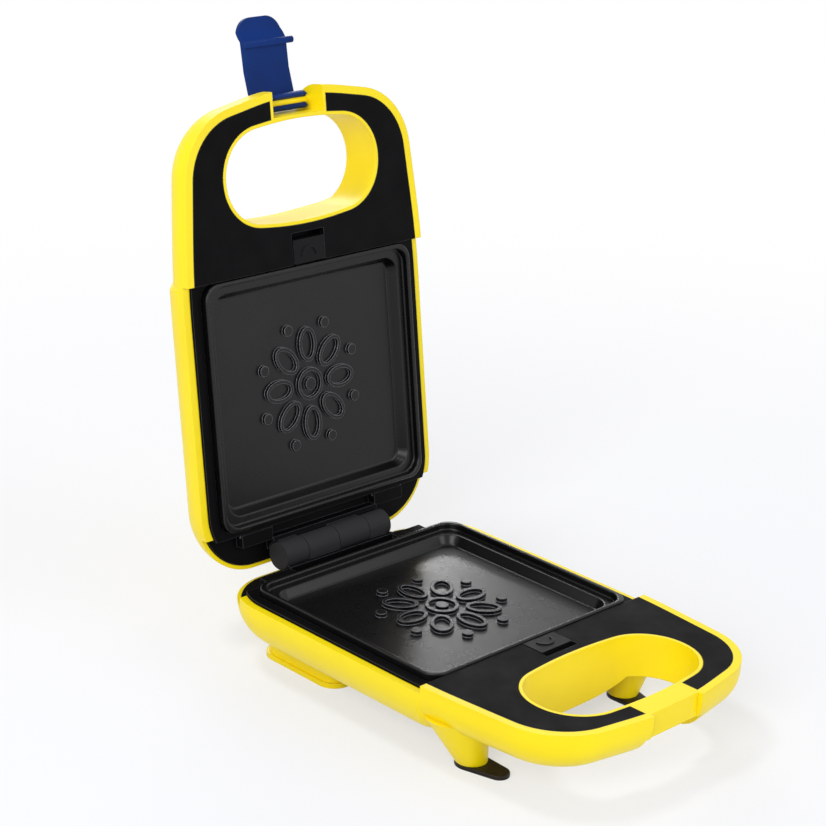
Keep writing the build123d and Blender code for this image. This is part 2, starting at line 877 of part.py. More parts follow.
def make_plate(half):
    """Removable cooking plate: raised rim, ledge, sloping well wall, floor relief, tabs and a lug."""
    with BuildPart() as plate:
        outer = plate_face(half.level(plate_rim_drop), 0)
        extrude(to_extrude=outer, amount=shelf_level - plate_rim_drop)
        under = plate_face(half.level(shelf_level), under_ledge_inset)
        extrude(to_extrude=under, amount=plate_bottom - shelf_level, taper=well_angle)
        rim = plate_face(half.level(plate_rim_drop - overrun), plate_rim_width)
        extrude(to_extrude=rim, amount=plate_step_depth + overrun, mode=Mode.SUBTRACT)
        well = plate_face(half.level(ledge_level), plate_ledge_inset)
        extrude(to_extrude=well, amount=plate_well_depth, taper=well_angle, mode=Mode.SUBTRACT)
        fillet(edges_at(plate, half, plate_floor_level), plate_floor_round)
        fillet(edges_at(plate, half, ledge_level), plate_edge_round)
        fillet(edges_at(plate, half, plate_rim_drop), plate_edge_round)
        extrude(to_extrude=relief_face(half), amount=relief_height + plate_wall / 2)
        back = hinge_setback - plate_length / 2
        for side in (-1, 1):
            across = sorted((side * tab_inner, side * tab_outer))
            block(
                half,
                across,
                (back - tab_length, back + plate_wall),
                (shelf_level - tab_thickness, shelf_level),
            )
        front = hinge_setback + plate_length / 2
        block(
            half,
            (-lug_width / 2, lug_width / 2),
            (front - plate_wall, front + lug_length),
            (shelf_level - lug_thickness, shelf_level),
        )
    save(plate, f"{half.name}_plate")


def relief_face(half):
    """Line pattern raised from a plate's floor: a ring, looped petals around it and small buds."""
    with BuildSketch(half.level(plate_floor_level - relief_height)) as lines:
        with Locations((0, hinge_setback)):
            Circle(eye_radius)
            with PolarLocations(petal_orbit, petal_count):
                Ellipse(petal_length / 2, petal_width / 2)
            with PolarLocations(bud_orbit, petal_count, start_angle=180 / petal_count):
                Circle(bud_radius)
            with PolarLocations(petal_orbit, petal_count):
                Ellipse(petal_length / 2 - relief_line, petal_width / 2 - relief_line, mode=Mode.SUBTRACT)
            Circle(eye_radius - relief_line, mode=Mode.SUBTRACT)
            Circle(dot_radius)
    return lines.sketch


def heater_path(half):
    """Centre line of a heater: a loop under the plate with both ends at the hinge side."""
    left, right = -heater_half_width, heater_half_width
    near = hinge_setback + heater_half_length
    far = hinge_setback - heater_half_length
    end = far - heater_stub
    with BuildLine(half.level(heater_level)) as route:
        FilletPolyline(
            (-heater_neck, end),
            (-heater_neck, far + heater_bend_radius),
            (left, far + heater_bend_radius),
            (left, near),
            (right, near),
            (right, far + heater_bend_radius),
            (heater_neck, far + heater_bend_radius),
            (heater_neck, end),
            radius=heater_bend_radius,
        )
    return route.line


def make_heater(half):
    """Tubular heater with a terminal pin at each end."""
    line = heater_path(half)
    with BuildPart() as heater:
        with BuildSketch(Plane(origin=line @ 0, z_dir=line % 0)) as section:
            Circle(heater_tube_radius)
        sweep(sections=section.sketch, path=line)
        for end, out in ((line @ 0, (line % 0) * -1), (line @ 1, line % 1)):
            with BuildSketch(Plane(origin=end, z_dir=out)) as pin:
                Circle(terminal_radius)
            extrude(to_extrude=pin.sketch, amount=terminal_length)
            extrude(to_extrude=pin.sketch, amount=-heater_tube_radius)
    save(heater, f"{half.name}_heater")


def make_heater_clips(half):
    """Saddles between heater and tray: one on each side and one at the front."""
    line = heater_path(half)
    middle_y = hinge_setback
    front_y = hinge_setback + heater_half_length
    with BuildPart() as clips:
        for x in (-heater_half_width, heater_half_width):
            across = (x - clip_width / 2, x + clip_width / 2)
            along = (middle_y - clip_length / 2, middle_y + clip_length / 2)
            block(half, across, along, (heater_level, tray_level))
        across = (-clip_length / 2, clip_length / 2)
        along = (front_y - clip_width / 2, front_y + clip_width / 2)
        block(half, across, along, (heater_level, tray_level))
        with BuildSketch(Plane(origin=line @ 0, z_dir=line % 0)) as section:
            Circle(heater_tube_radius + touch_gap / 2)
        sweep(sections=section.sketch, path=line, mode=Mode.SUBTRACT)
    save(clips, f"{half.name}_heater_clips")


def tray_pan(half, level, inset):
    """Plan of the reflector tray's pan, moved inward."""
    with BuildSketch(half.level(level)) as plan:
        with Locations((0, hinge_setback)):
            RectangleRounded(
                (tray_half_width - inset) * 2,
                (tray_half_length - inset) * 2,
                tray_corner_radius - inset,
            )
    return plan.sketch


def make_tray(half):
    """Reflector tray: a sheet pan under the heater, hung from the bezel by two flanges."""
    with BuildPart() as tray:
        extrude(to_extrude=tray_pan(half, core_bottom, 0), amount=tray_bottom - core_bottom)
        wide = tray_flange_half_width
        long = tray_half_length + tray_flange_length
        block(
            half,
            (-wide, wide),
            (hinge_setback - long, hinge_setback + long),
            (core_bottom, core_bottom + tray_sheet),
        )
        extrude(
            to_extrude=tray_pan(half, core_bottom - overrun, tray_sheet),
            amount=tray_level - core_bottom + overrun,
            mode=Mode.SUBTRACT,
        )
        depths = (core_bottom - overrun, core_bottom + overrun)
        post(half, tray_screw_places(), tray_screw_radius + touch_gap, depths, Mode.SUBTRACT)
        neck = heater_neck + heater_tube_radius + tray_neck_room
        rear = hinge_setback - long - overrun
        block(
            half,
            (-neck, neck),
            (rear, hinge_setback - tray_half_length + tray_sheet),
            (core_bottom - overrun, heater_level + heater_tube_radius + touch_gap),
            Mode.SUBTRACT,
        )
    save(tray, f"{half.name}_reflector_tray")


def make_screws(half, name, places, head_level, grows, radius, head_radius, head_height, length):
    """A set of like screws in one node: the heads start at a level and the shanks run on from them."""
    direction = 1 if grows else -1
    with BuildPart() as screws:
        post(half, places, head_radius, (head_level, head_level + direction * head_height))
        post(half, places, radius, (head_level, head_level + direction * length))
    save(screws, name)


def make_thermostat(half):
    """Disc thermostat on the back of the reflector tray."""
    place = [(0, hinge_setback + thermostat_reach)]
    body_end = tray_bottom + thermostat_height
    with BuildPart() as thermostat:
        post(half, place, thermostat_radius, (tray_bottom, body_end - thermostat_cap_height))
        post(half, place, thermostat_cap_radius, (tray_bottom, body_end))
        for side in (-1, 1):
            middle = side * thermostat_blade_x
            across = (middle - tray_sheet / 2, middle + tray_sheet / 2)
            along = (place[0][1] - thermostat_blade_x, place[0][1] + thermostat_blade_x)
            block(half, across, along, (body_end - tray_sheet, body_end + thermostat_cap_height))
    save(thermostat, f"{half.name}_thermostat")


def make_fuse(half):
    """Thermal fuse held to the back of the tray by a strap."""
    centre_y = hinge_setback - fuse_reach
    level = tray_bottom + fuse_radius
    origin = half.plane.from_local_coords((-fuse_length / 2, centre_y, level))
    with BuildPart() as fuse:
        with BuildSketch(Plane(origin=origin, z_dir=half.plane.x_dir)) as section:
            Circle(fuse_radius)
        extrude(to_extrude=section.sketch, amount=fuse_length)
        strap = fuse_radius + fuse_strap_thickness
        foot = strap + fuse_strap_width
        across = (-fuse_strap_width / 2, fuse_strap_width / 2)
        top = tray_bottom + fuse_radius * 2
        block(half, across, (centre_y - strap, centre_y + strap), (tray_bottom, top + fuse_strap_thickness))
        along = (centre_y - foot, centre_y + foot)
        block(half, across, along, (tray_bottom, tray_bottom + fuse_strap_thickness))
    save(fuse, f"{half.name}_thermal_fuse")


def make_terminal_block():
    """Ceramic connector block on the floor of the base, beside the heater's ends."""
    floor = base_depth - casing_floor
    middle = hinge_setback - terminal_block_reach
    across = (terminal_block_x - terminal_block_length / 2, terminal_block_x + terminal_block_length / 2)
    along = (middle, middle + terminal_block_width)
    pitch = terminal_block_length / terminal_ways
    places = [
        (across[0] + pitch * (index + 0.5), middle + terminal_block_width / 2)
        for index in range(terminal_ways)
    ]
    with BuildPart() as connector:
        block(base, across, along, (floor - terminal_block_height, floor))
        depths = (floor - terminal_block_height, floor - terminal_block_height + terminal_hole_depth)
        post(base, places, terminal_hole_radius, depths, Mode.SUBTRACT)
    save(connector, "terminal_block")


def make_hinge_pin():
    """Steel pin through the barrel, flush at its open end and short of the blind one."""
    blind_end = knuckle_edges[0] + barrel_end_wall + pin_end_gap
    with BuildPart() as pin:
        round_bar(base, (blind_end, knuckle_edges[-1]), pin_radius, Mode.ADD)
        chamfer(pin.edges().filter_by(GeomType.CIRCLE), pin_chamfer)
    save(pin, "hinge_pin")


def latch_point(forward, drop):
    """Place on the closed latch's section, turned up to where the open latch holds it."""
    turn = math.radians(latch_throw_angle)
    x = forward * math.cos(turn) + drop * math.sin(turn)
    y = forward * math.sin(turn) - drop * math.cos(turn)
    return (x, y)


def make_latch():
    """Latch, drawn open: a clip round the bar, a leg with a cross rib that hooks, and a thumb tongue."""
    outer = latch_inner + latch_thickness
    hook_tip = latch_inner - latch_hook_reach
    hook_end = latch_hook_drop + latch_hook_height
    section = [
        (latch_inner, latch_hook_drop),
        (hook_tip, latch_hook_drop),
        (hook_tip, hook_end - latch_hook_lead),
        (hook_tip + latch_hook_lead, hook_end),
        (latch_inner, hook_end),
        (latch_inner + latch_flare, latch_flare_drop),
        (latch_inner + latch_flare, latch_tip_drop),
        (outer + latch_flare, latch_tip_drop),
        (outer + latch_flare, latch_flare_drop),
        (outer, hook_end),
        (outer + latch_bulge, latch_bend_drop),
        (outer, -latch_top),
        (0, -latch_ring_radius),
        (0, -bar_radius - latch_thickness / 2),
        (latch_inner, -latch_top + latch_thickness),
        (latch_inner + latch_bulge, latch_bend_drop),
    ]
    plane = bar_plane()
    half_leg = latch_leg_width / 2
    half_tongue = latch_tongue_width / 2
    turn = math.radians(latch_throw_angle)
    along = Vector(plane.x_dir) * math.sin(turn) - Vector(plane.y_dir) * math.cos(turn)
    plan_plane = Plane(origin=plane.origin, x_dir=(1, 0, 0), z_dir=Vector(1, 0, 0).cross(along))
    low_end = -latch_ring_radius - overrun
    half_radii = [latch_corner_round, latch_corner_round, latch_tongue_round]
    with BuildPart() as latch:
        with BuildSketch(plane) as leg:
            with BuildLine():
                Polyline(*[latch_point(forward, drop) for forward, drop in section], close=True)
            make_face()
        extrude(to_extrude=leg.sketch, amount=half_tongue, both=True)
        with BuildSketch(plan_plane) as plan:
            with BuildLine():
                FilletPolyline(
                    (half_leg, low_end),
                    (half_leg, hook_end),
                    (half_tongue, latch_tip_drop),
                    (-half_tongue, latch_tip_drop),
                    (-half_leg, hook_end),
                    (-half_leg, low_end),
                    radius=[*half_radii, *reversed(half_radii)],
                    close=True,
                )
            make_face()
        with BuildPart(mode=Mode.PRIVATE) as trim:
            extrude(to_extrude=plan.sketch, amount=latch_tip_drop, both=True)
        add(trim.part, mode=Mode.INTERSECT)
        with BuildSketch(plane) as clip:
            Circle(latch_ring_radius)
            Circle(bar_radius + latch_bore_clearance, mode=Mode.SUBTRACT)
            mouth = latch_ring_radius + overrun
            half_mouth = math.radians(latch_ring_mouth_angle / 2)
            with BuildLine():
                Polyline(
                    (0, 0),
                    (-mouth * math.sin(half_mouth), -mouth * math.cos(half_mouth)),
                    (mouth * math.sin(half_mouth), -mouth * math.cos(half_mouth)),
                    close=True,
                )
            make_face(mode=Mode.SUBTRACT)
        extrude(to_extrude=clip.sketch, amount=half_leg, both=True)
        nub_x, nub_y = latch_point(hook_tip + latch_nub_radius, latch_hook_drop + latch_nub_radius)
        with BuildSketch(plane) as nub:
            with Locations((nub_x, nub_y)):
                Circle(latch_nub_radius)
        nub_reach = half_leg + latch_nub
        side = 1 if plane.z_dir.X > 0 else -1
        extrude(to_extrude=nub.sketch, amount=side * nub_reach)
    save(latch, "latch")


def make_lamps():
    """Red and green lens, each a stepped button pushed in from inside the lid."""
    inner = lid_depth - casing_floor
    for name, place in zip(("power_lamp", "ready_lamp"), lamp_places()):
        with BuildPart() as lens:
            post(lid, [place], lamp_radius, (inner - lamp_flange_thickness, lid_depth + lamp_proud))
            post(lid, [place], lamp_radius + lamp_flange, (inner - lamp_flange_thickness, inner))
            fillet(lens.faces().sort_by(lid.axis)[-1].edges(), lamp_round)
        save(lens, name)


def make_gland():
    """Rubber gland in the rear wall, with its bore for the cord."""
    with BuildPart() as gland:
        height = parting_height - gland_drop
        inner = Plane(origin=(gland_x, gland_inner_reach, height), z_dir=(0, 1, 0))
        outer = Plane(origin=(gland_x, gland_outer_reach, height), z_dir=(0, 1, 0))
        with BuildSketch(inner) as body:
            Circle(gland_radius)
        extrude(to_extrude=body.sketch, amount=gland_length)
        with BuildSketch(outer) as flange:
            Circle(gland_flange_radius)
        extrude(to_extrude=flange.sketch, amount=-gland_flange_thickness)
        with BuildSketch(inner) as bore:
            Circle(gland_bore_radius)
        extrude(to_extrude=bore.sketch, amount=gland_length, mode=Mode.SUBTRACT)
    save(gland, "cord_gland")


def make_foot_pads():
    """Dark tapering pads with round ends under the front posts."""
    with BuildPart() as pads:
        for side in (-1, 1):
            with BuildSketch(Plane.XY) as plan:
                with Locations((side * post_low_x, -post_low_reach)):
                    Circle(post_low_radius)
                with Locations((side * pad_far_x, -pad_far_reach)):
                    Circle(pad_far_radius)
                make_hull()
            extrude(to_extrude=plan.sketch, amount=pad_thickness)
        fillet(pads.edges().group_by(Axis.Z)[-1], pad_edge_round)
        with BuildSketch(Plane.XY) as heads:
            with Locations(*pad_screw_places()):
                Circle(pad_screw_head_radius)
        sink = pad_screw_sink + pad_screw_head_height
        extrude(to_extrude=heads.sketch, amount=sink, mode=Mode.SUBTRACT)
        with BuildSketch(Plane.XY) as shanks:
            with Locations(*pad_screw_places()):
                Circle(pad_screw_radius)
        extrude(to_extrude=shanks.sketch, amount=pad_thickness, mode=Mode.SUBTRACT)
    save(pads, "foot_pads")


def pad_screw_places():
    """Places of the screws that hold the pads to the posts."""
    return [(-post_low_x, -post_low_reach), (post_low_x, -post_low_reach)]


def make_cord_wrap():
    """Moulded foot under the rear of the base: a lipped flange on a neck that a cord winds round."""
    middle = (wrap_front_y + wrap_rear_y) / 2
    length = wrap_rear_y - wrap_front_y
    neck_top = parting_height - base_depth
    wall = wrap_lip_step + wrap_wall
    with BuildPart() as wrap:
        with BuildSketch(Plane.XY) as flange:
            with Locations((0, middle)):
                RectangleRounded(wrap_half_width * 2, length, wrap_corner_radius)
        extrude(to_extrude=flange.sketch, amount=wrap_lip_height)
        with BuildSketch(Plane.XY.offset(wrap_lip_height)) as upper:
            with Locations((0, middle)):
                RectangleRounded(
                    (wrap_half_width - wrap_lip_step) * 2,
                    length - wrap_lip_step * 2,
                    wrap_corner_radius - wrap_lip_step,
                )
        extrude(to_extrude=upper.sketch, amount=wrap_height - wrap_lip_height)
        fillet(wrap.edges().group_by(Axis.Z)[-1], wrap_edge_round)
        with BuildSketch(Plane.XY.offset(wrap_height)) as neck:
            with Locations((0, middle)):
                RectangleRounded(
                    (wrap_half_width - wrap_neck_inset) * 2,
                    length - wrap_neck_inset * 2,
                    wrap_neck_radius,
                )
        extrude(to_extrude=neck.sketch, amount=neck_top - wrap_height)
        with BuildSketch(Plane.XY) as hollow:
            with Locations((0, middle)):
                RectangleRounded(
                    (wrap_half_width - wall) * 2,
                    length - wall * 2,
                    wrap_corner_radius - wall,
                )
            with Locations((-wrap_screw_x, middle), (wrap_screw_x, middle)):
                Circle(wrap_boss_radius, mode=Mode.SUBTRACT)
        extrude(to_extrude=hollow.sketch, amount=wrap_height - wrap_wall, mode=Mode.SUBTRACT)
        with BuildSketch(Plane.XY) as heads:
            with Locations((-wrap_screw_x, middle), (wrap_screw_x, middle)):
                Circle(wrap_screw_head_radius)
        extrude(to_extrude=heads.sketch, amount=wrap_screw_sink(), mode=Mode.SUBTRACT)
        with BuildSketch(Plane.XY) as shanks:
            with Locations((-wrap_screw_x, middle), (wrap_screw_x, middle)):
                Circle(wrap_screw_radius)
        extrude(to_extrude=shanks.sketch, amount=neck_top, mode=Mode.SUBTRACT)
    save(wrap, "cord_wrap_foot")


def wrap_screw_sink():
    """Height above the floor at which the cord wrap's screw heads seat."""
    return wrap_height - wrap_wall


for half in (base, lid):
    make_casing(half)
    make_bezel(half)
    make_plate(half)
    make_heater(half)
    make_heater_clips(half)
    make_tray(half)
    make_thermostat(half)
    make_fuse(half)
    make_button(half)
    make_springs(half)
    make_screws(
        half,
        f"{half.name}_casing_screws",
        case_screw_places(),
        shelf_level,
        True,
        case_screw_radius,
        case_screw_head_radius,
        case_screw_head_height,
        case_screw_length,
    )
    make_screws(
        half,
        f"{half.name}_tray_screws",
        tray_screw_places(),
        core_bottom + tray_sheet + tray_screw_head_height,
        False,
        tray_screw_radius,
        tray_screw_head_radius,
        tray_screw_head_height,
        tray_screw_length + tray_screw_head_height,
    )

make_terminal_block()
make_hinge_pin()
make_latch()
make_lamps()
make_gland()
make_foot_pads()
make_cord_wrap()

make_screws(
    base,
    "cord_wrap_screws",
    wrap_screw_places(),
    parting_height - wrap_screw_sink() + wrap_screw_head_height,
    False,
    wrap_screw_radius,
    wrap_screw_head_radius,
    wrap_screw_head_height,
    wrap_screw_length,
)
make_screws(
    base,
    "foot_pad_screws",
    [(x, hinge_setback - y) for x, y in pad_screw_places()],
    parting_height - pad_screw_sink,
    False,
    pad_screw_radius,
    pad_screw_head_radius,
    pad_screw_head_height,
    pad_screw_length,
)
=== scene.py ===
"""Looks of the three-in-one sandwich maker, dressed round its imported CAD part."""

import json
import logging
from dataclasses import dataclass
from enum import Enum
from typing import Any

import bpy
from mathutils import Matrix, Vector

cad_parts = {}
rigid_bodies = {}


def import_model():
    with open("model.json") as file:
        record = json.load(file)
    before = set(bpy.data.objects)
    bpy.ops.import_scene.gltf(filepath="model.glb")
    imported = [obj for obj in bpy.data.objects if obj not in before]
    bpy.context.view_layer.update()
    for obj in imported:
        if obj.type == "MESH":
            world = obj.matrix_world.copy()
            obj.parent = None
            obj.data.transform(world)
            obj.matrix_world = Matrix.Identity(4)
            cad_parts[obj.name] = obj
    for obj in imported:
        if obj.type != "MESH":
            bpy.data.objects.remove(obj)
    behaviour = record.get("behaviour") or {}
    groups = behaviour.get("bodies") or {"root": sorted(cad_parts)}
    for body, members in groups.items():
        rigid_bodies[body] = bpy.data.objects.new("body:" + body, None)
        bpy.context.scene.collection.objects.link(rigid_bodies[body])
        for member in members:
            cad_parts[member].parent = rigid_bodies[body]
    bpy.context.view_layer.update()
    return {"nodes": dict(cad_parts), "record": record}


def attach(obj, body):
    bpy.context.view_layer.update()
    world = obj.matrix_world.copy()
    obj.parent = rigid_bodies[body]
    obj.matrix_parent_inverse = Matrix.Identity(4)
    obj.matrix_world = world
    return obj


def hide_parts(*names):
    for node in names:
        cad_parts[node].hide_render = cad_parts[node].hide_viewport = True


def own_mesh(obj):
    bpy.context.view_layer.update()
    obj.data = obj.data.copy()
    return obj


logging.basicConfig(level=logging.INFO, format="%(message)s")
LOG = logging.getLogger("sandwich_maker")

# Millimetres in a metre: the frame is in metres, and patterns are given in millimetres
MM_PER_M = 1000.0

# The hinge barrel in the frame, in metres: a point on its axis, which runs along X, the
# directions across it, its radius, and how far past that its painted highlight fades
HINGE_PLACE = (0.0, 0.077, 0.042)
ACROSS_HINGE = (0.0, 1.0, 1.0)
BARREL_RADIUS = 0.0068
BARREL_HIGHLIGHT_FADE_START = 0.0002
BARREL_HIGHLIGHT_FADE_END = 0.0008

# Ways that the release buttons slide. The open lid leans back 9 degrees.
TOWARD_NOSE = (0.0, -1.0, 0.0)
UP_THE_LID = (0.0, 0.156434, 0.987688)

# The sRGB curve: a straight part up to the knee, and a power above it
SRGB_MAX = 255
SRGB_KNEE = 0.04045
SRGB_SLOPE = 12.92
SRGB_OFFSET = 0.055
SRGB_POWER = 2.4
WHITE = "#FFFFFF"

# Samples of the rounded normal, and its cosines with the flat one where an edge starts and
# where it is full
BEVEL_SAMPLES = 6
EDGE_START = 0.995
EDGE_FULL = 0.8
# Share of the roughness that rubbing takes off an edge
EDGE_RUB = 0.3

# Noise values over which the colour, and the handling marks, go from one end to the other
PATCH_LOW, PATCH_HIGH = 0.35, 0.68
MARK_LOW, MARK_HIGH = 0.3, 0.7
# Handling marks in the width of one patch of colour
MARKS_PER_PATCH = 3
# Octaves of the noises
PATCH_DETAIL = 4.0
MARK_DETAIL = 5.0
MOULD_DETAIL = 6.0
SMOOTH_DETAIL = 2.0
# Scales of a rolled or drawn grain, which is long along Y
DRAWN_SCALE = (1.0, 0.06, 1.0)


# ---------------------------------------------------------------- Colour and nodes


def linear(hex_value: str) -> tuple[float, float, float, float]:
    """Turn an sRGB hex colour to the linear colour that sockets take.

    Args:
        hex_value: colour such as "#FFE01F".

    Returns:
        Linear red, green and blue, and full opacity.
    """
    channels = []
    for start in (1, 3, 5):
        value = int(hex_value[start : start + 2], 16) / SRGB_MAX
        if value <= SRGB_KNEE:
            channels.append(value / SRGB_SLOPE)
        else:
            channels.append(((value + SRGB_OFFSET) / (1 + SRGB_OFFSET)) ** SRGB_POWER)
    return (channels[0], channels[1], channels[2], 1.0)


def add_node(
    tree: bpy.types.NodeTree,
    kind: str,
    settings: dict[str, Any] | None = None,
    inputs: dict[Any, Any] | None = None,
) -> bpy.types.Node:
    """Add a node with its settings, and set or link its inputs.

    Args:
        tree: node tree that gets the node.
        kind: Blender's name of the node's type.
        settings: attributes of the node, by name.
        inputs: values or output sockets, by the input's name or number.

    Returns:
        The new node.
    """
    node = tree.nodes.new(kind)
    for name, value in (settings or {}).items():
        setattr(node, name, value)
    for name, value in (inputs or {}).items():
        if isinstance(value, bpy.types.NodeSocket):
            tree.links.new(value, node.inputs[name])
        else:
            node.inputs[name].default_value = value
    return node


def per_metre(size_mm: float) -> float:
    """Noise scale whose features are size_mm across, for coordinates in metres."""
    return MM_PER_M / size_mm


# ---------------------------------------------------------------- Finishes


class Slot(Enum):
    """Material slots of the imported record."""

    YELLOW_SHELL = "yellow_shell"
    BLACK_MOULDING = "black_moulding"
    NON_STICK = "non_stick"
    BLUE_LATCH = "blue_latch"
    BUTTON_PLASTIC = "button_plastic"
    TRAY_STEEL = "tray_steel"
    ZINC_STEEL = "zinc_steel"
    SPRING_STEEL = "spring_steel"
    HEATER_STEEL = "heater_steel"
    PIN_STEEL = "pin_steel"
    CERAMIC = "ceramic"
    BLACK_RUBBER = "black_rubber"
    BROWN_PAD = "brown_pad"
    RED_LENS = "red_lens"
    GREEN_LENS = "green_lens"


class Pattern(Enum):
    """How a surface was made, which sets the shape of its fine relief."""

    SPARK_ERODED = "spark eroded mould"
    SPRAYED = "sprayed coat"
    ROLLED = "rolled or drawn metal"
    SPANGLED = "hot dipped coat"


@dataclass(frozen=True)
class Finish:
    """One real finish: its colours, its gloss and its fine relief.

    Sizes are in millimetres. The colour varies between body and shade over patch_mm, the edges
    turn to the edge colour by edge_share, which is partly wear and partly a painted highlight, and
    the relief is grain_mm wide and relief_mm deep.
    The barrel highlight, where a finish has one, is a paler colour painted on the hinge barrel as a
    highlight.
    """

    name: str
    slot: Slot
    body: str
    shade: str
    edge: str
    pattern: Pattern
    roughness: float
    roughness_spread: float
    grain_mm: float
    relief_mm: float
    patch_mm: float = 45.0
    edge_mm: float = 0.5
    edge_share: float = 0.35
    metallic: float = 0.0
    ior: float = 1.5
    transmission: float = 0.0
    gloss_level: float = 0.5
    barrel_highlight: str = ""

    def build(self) -> bpy.types.Material:
        """Make the Blender material.

        Returns:
            The material, with its colour, roughness and relief from nodes.
        """
        material = bpy.data.materials.new(self.name)
        material.use_nodes = True
        material.diffuse_color = linear(self.body)
        tree = material.node_tree
        tree.nodes.clear()
        place = add_node(tree, "ShaderNodeTexCoord").outputs["Object"]
        edges = self.edge_mask(tree)
        colour = self.colour(tree, place, edges)
        roughness = self.gloss(tree, place, edges)
        normal = self.relief(tree, place)
        shader = add_node(
            tree,
            "ShaderNodeBsdfPrincipled",
            inputs={
                "Base Color": colour,
                "Roughness": roughness,
                "Normal": normal,
                "Metallic": self.metallic,
                "Transmission Weight": self.transmission,
                "Specular IOR Level": self.gloss_level,
            },
        )
        if not self.metallic:
            shader.inputs["IOR"].default_value = self.ior
        add_node(tree, "ShaderNodeOutputMaterial", inputs={"Surface": shader.outputs["BSDF"]})
        return material

    def edge_mask(self, tree: bpy.types.NodeTree) -> bpy.types.NodeSocket:
        """Mask of the edges that get wear and a painted highlight, from how far the rounded normal
        turns from the flat one.

        Args:
            tree: node tree of the material.

        Returns:
            The mask's socket, 1 on convex and concave edges and 0 on open faces.
        """
        flat = add_node(tree, "ShaderNodeNewGeometry").outputs["Normal"]
        soft = add_node(
            tree, "ShaderNodeBevel", {"samples": BEVEL_SAMPLES}, {"Radius": self.edge_mm / MM_PER_M}
        )
        turn = add_node(
            tree,
            "ShaderNodeVectorMath",
            {"operation": "DOT_PRODUCT"},
            {0: flat, 1: soft.outputs["Normal"]},
        )
        mask = add_node(
            tree,
            "ShaderNodeMapRange",
            inputs={
                "Value": turn.outputs["Value"],
                "From Min": EDGE_START,
                "From Max": EDGE_FULL,
            },
        )
        return mask.outputs["Result"]

    def colour(
        self,
        tree: bpy.types.NodeTree,
        place: bpy.types.NodeSocket,
        edges: bpy.types.NodeSocket,
    ) -> bpy.types.NodeSocket:
        """Base colour: patches of body and shade, with the edge colour along the edges, partly wear
        and partly a painted highlight, and a painted highlight on the hinge barrel where there is
        one.

        Args:
            tree: node tree of the material.
            place: coordinates in metres.
            edges: mask of the edges.

        Returns:
            The colour's socket.
        """
        patches = add_node(
            tree,
            "ShaderNodeTexNoise",
            inputs={
                "Vector": place,
                "Scale": per_metre(self.patch_mm),
                "Detail": PATCH_DETAIL,
            },
        )
        spread = add_node(
            tree,
            "ShaderNodeMapRange",
            inputs={
                "Value": patches.outputs["Fac"],
                "From Min": PATCH_LOW,
                "From Max": PATCH_HIGH,
            },
        )
        tone = add_node(
            tree,
            "ShaderNodeMix",
            {"data_type": "RGBA"},
            {"Factor": spread.outputs["Result"], "A": linear(self.body), "B": linear(self.shade)},
        )
        # Edge colour over the edges: partly wear, partly a painted highlight
        wear_and_highlight = add_node(
            tree,
            "ShaderNodeMath",
            {"operation": "MULTIPLY"},
            {0: edges, 1: self.edge_share},
        )
        worn_and_highlit = add_node(
            tree,
            "ShaderNodeMix",
            {"data_type": "RGBA"},
            {
                "Factor": wear_and_highlight.outputs["Value"],
                "A": tone.outputs["Result"],
                "B": linear(self.edge),
            },
        )
        if not self.barrel_highlight:
            return worn_and_highlit.outputs["Result"]
        # Painted highlight: a paler colour over the hinge barrel
        barrel_highlight = add_node(
            tree,
            "ShaderNodeMix",
            {"data_type": "RGBA"},
            {
                "Factor": self.barrel_highlight_mask(tree, place),
                "A": worn_and_highlit.outputs["Result"],
                "B": linear(self.barrel_highlight),
            },
        )
        return barrel_highlight.outputs["Result"]

    def barrel_highlight_mask(
        self, tree: bpy.types.NodeTree, place: bpy.types.NodeSocket
    ) -> bpy.types.NodeSocket:
        """Mask of the hinge barrel, where a paler colour is painted on as a highlight.

        Args:
            tree: node tree of the material.
            place: coordinates in metres.

        Returns:
            The mask's socket, 1 on the barrel.
        """
        centred = add_node(
            tree, "ShaderNodeVectorMath", {"operation": "SUBTRACT"}, {0: place, 1: HINGE_PLACE}
        )
        across = add_node(
            tree,
            "ShaderNodeVectorMath",
            {"operation": "MULTIPLY"},
            {0: centred.outputs["Vector"], 1: ACROSS_HINGE},
        )
        away = add_node(
            tree, "ShaderNodeVectorMath", {"operation": "LENGTH"}, {0: across.outputs["Vector"]}
        )
        mask = add_node(
            tree,
            "ShaderNodeMapRange",
            inputs={
                "Value": away.outputs["Value"],
                "From Min": BARREL_RADIUS + BARREL_HIGHLIGHT_FADE_END,
                "From Max": BARREL_RADIUS + BARREL_HIGHLIGHT_FADE_START,
            },
        )
        return mask.outputs["Result"]

    def gloss(
        self,
        tree: bpy.types.NodeTree,
        place: bpy.types.NodeSocket,
        edges: bpy.types.NodeSocket,
    ) -> bpy.types.NodeSocket:
        """Roughness: handling marks over the faces, and edges that are rubbed smoother.

        Args:
            tree: node tree of the material.
            place: coordinates in metres.
            edges: mask of the edges.

        Returns:
            The roughness socket.
        """
        marks = add_node(
            tree,
            "ShaderNodeTexNoise",
            inputs={
                "Vector": place,
                "Scale": per_metre(self.patch_mm / MARKS_PER_PATCH),
                "Detail": MARK_DETAIL,
            },
        )
        spread = add_node(
            tree,
            "ShaderNodeMapRange",
            inputs={
                "Value": marks.outputs["Fac"],
                "From Min": MARK_LOW,
                "From Max": MARK_HIGH,
                "To Min": self.roughness - self.roughness_spread,
                "To Max": self.roughness + self.roughness_spread,
            },
        )
        rubbed = add_node(
            tree,
            "ShaderNodeMath",
            {"operation": "MULTIPLY_ADD", "use_clamp": True},
            {0: edges, 1: -EDGE_RUB * self.roughness, 2: spread.outputs["Result"]},
        )
        return rubbed.outputs["Value"]

